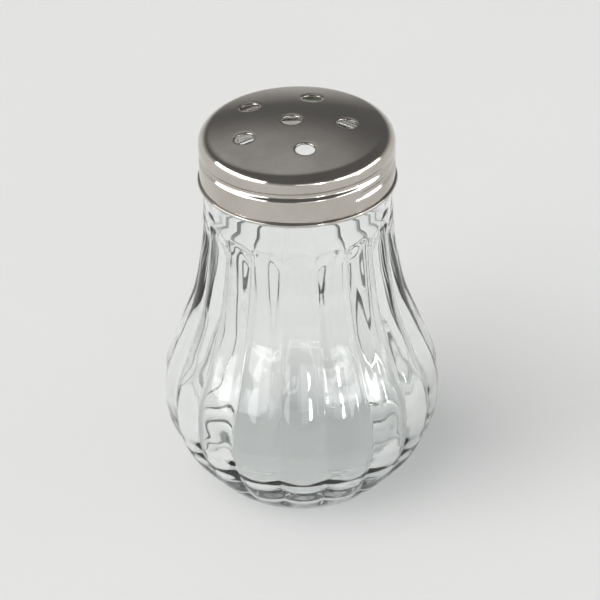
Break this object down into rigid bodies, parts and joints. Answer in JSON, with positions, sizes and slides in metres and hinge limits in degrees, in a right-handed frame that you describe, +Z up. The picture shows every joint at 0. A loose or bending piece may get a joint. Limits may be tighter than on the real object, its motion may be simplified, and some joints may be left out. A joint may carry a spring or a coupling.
{
  "type": "spice shaker",
  "caption": "Clear pear-shaped glass table shaker with upright lobes and a screwed, domed cap of polished metal pierced with pouring holes.",
  "frame": {"origin": "middle of the glass foot, on the surface that the shaker stands on", "axes": "+Z up along the axis of the jar and its cap; -Y is the front, where one lobe faces the viewer"},
  "size_m": [0.0652, 0.066, 0.0951],
  "materials": {
    "clear_glass": "fire-polished pressed soda-lime glass",
    "polished_steel": "mirror-polished stainless sheet",
    "seal_plastic": "moulded soft polyethylene"
  },
  "bodies": {
    "jar": {"glass_jar": "clear_glass"},
    "seal": {"rim_seal": "seal_plastic"},
    "cap": {"screw_cap": "polished_steel"}
  },
  "joints": [
    {"name": "cap_rise", "type": "slide", "parent": "jar", "child": "seal", "axis": [0, 0, 1], "range_m": [0, 0.0121]},
    {"name": "cap_turn", "type": "hinge", "parent": "seal", "child": "cap", "pos_m": [0, 0, 0.0852], "axis": [0, 0, 1], "range_deg": [0, 1440]}
  ],
  "couplings": [
    {"joint": "cap_rise", "follows": "cap_turn", "m_per_rad": 0.00047746}
  ]
}
